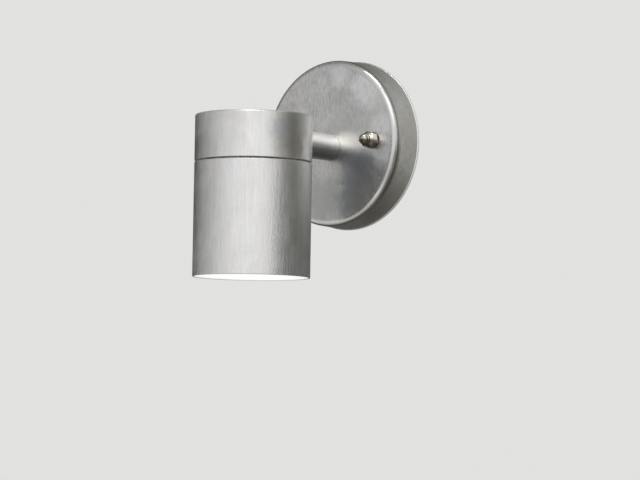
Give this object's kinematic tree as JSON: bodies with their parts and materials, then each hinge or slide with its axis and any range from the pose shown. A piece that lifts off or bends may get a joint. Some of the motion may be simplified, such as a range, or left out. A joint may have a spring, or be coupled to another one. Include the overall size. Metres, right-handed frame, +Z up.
{
  "type": "outdoor wall downlight",
  "caption": "Galvanised outdoor wall downlight: round canopy, short arm and an upright cylinder whose lower sleeve and lens slide off so the twist-lock lamp can be changed.",
  "frame": {"origin": "centre of the round canopy on the wall plane", "axes": "+Y into the wall, +Z up, +X to the right of a person who faces the wall; the light hangs out along -Y"},
  "size_m": [0.09, 0.1118, 0.1196],
  "materials": {
    "galvanised_steel": "hot-dip galvanised, cloudy grey with soft streaks",
    "nickel_plate": "bright nickel plate, slightly warm",
    "zinc_plated_steel": "bright zinc plate",
    "cast_aluminium": "turned, satin",
    "brass": "plain brass",
    "pale_nylon": "moulded, natural",
    "black_rubber": "matt black",
    "pale_silicone": "milky silicone",
    "blue_insulation": "smooth blue sleeve",
    "brown_insulation": "smooth brown sleeve",
    "green_insulation": "green and yellow striped sleeve",
    "white_ceramic": "fired, unglazed",
    "white_lamp_shell": "smooth white moulding",
    "lit_lamp_cover": "diffusing cover, lit",
    "lit_glass": "satin glass, lit from behind"
  },
  "bodies": {
    "fixture": {"canopy": "galvanised_steel", "wall_gasket": "black_rubber", "wall_bracket": "zinc_plated_steel", "cable_bush": "black_rubber", "bracket_studs": "zinc_plated_steel", "nut_seals": "black_rubber", "cap_nuts": "nickel_plate", "terminal_block": "pale_nylon", "terminal_clamps": "brass", "terminal_screws": "zinc_plated_steel", "block_screw": "zinc_plated_steel", "earth_screws": "zinc_plated_steel", "earth_tags": "nickel_plate", "neutral_lead": "blue_insulation", "live_lead": "brown_insulation", "earth_lead": "green_insulation", "arm_tube": "galvanised_steel", "threaded_pipe": "zinc_plated_steel", "pipe_nuts": "zinc_plated_steel", "lock_washers": "zinc_plated_steel", "pipe_bushes": "pale_nylon", "saddle_washer": "cast_aluminium", "head_cap": "galvanised_steel", "spigot_collar": "cast_aluminium", "collar_screws": "zinc_plated_steel", "seam_seal": "black_rubber", "o_ring": "black_rubber", "holder_bridge": "zinc_plated_steel", "lamp_holder": "white_ceramic", "holder_screws": "zinc_plated_steel", "holder_contacts": "brass"},
    "sleeve": {"sleeve": "galvanised_steel", "lens_seal": "pale_silicone", "lens_glass": "lit_glass"},
    "lamp": {"lamp_body": "white_lamp_shell", "lamp_front": "lit_lamp_cover", "lamp_pins": "brass"}
  },
  "joints": [
    {"name": "sleeve_slide", "type": "slide", "parent": "fixture", "child": "sleeve", "axis": [0, 0, -1], "range_m": [0, 0.06]},
    {"name": "lamp_twist", "type": "hinge", "parent": "fixture", "child": "lamp", "pos_m": [0, -0.08165, -0.02], "axis": [0, 0, -1], "range_deg": [0, 20]}
  ]
}
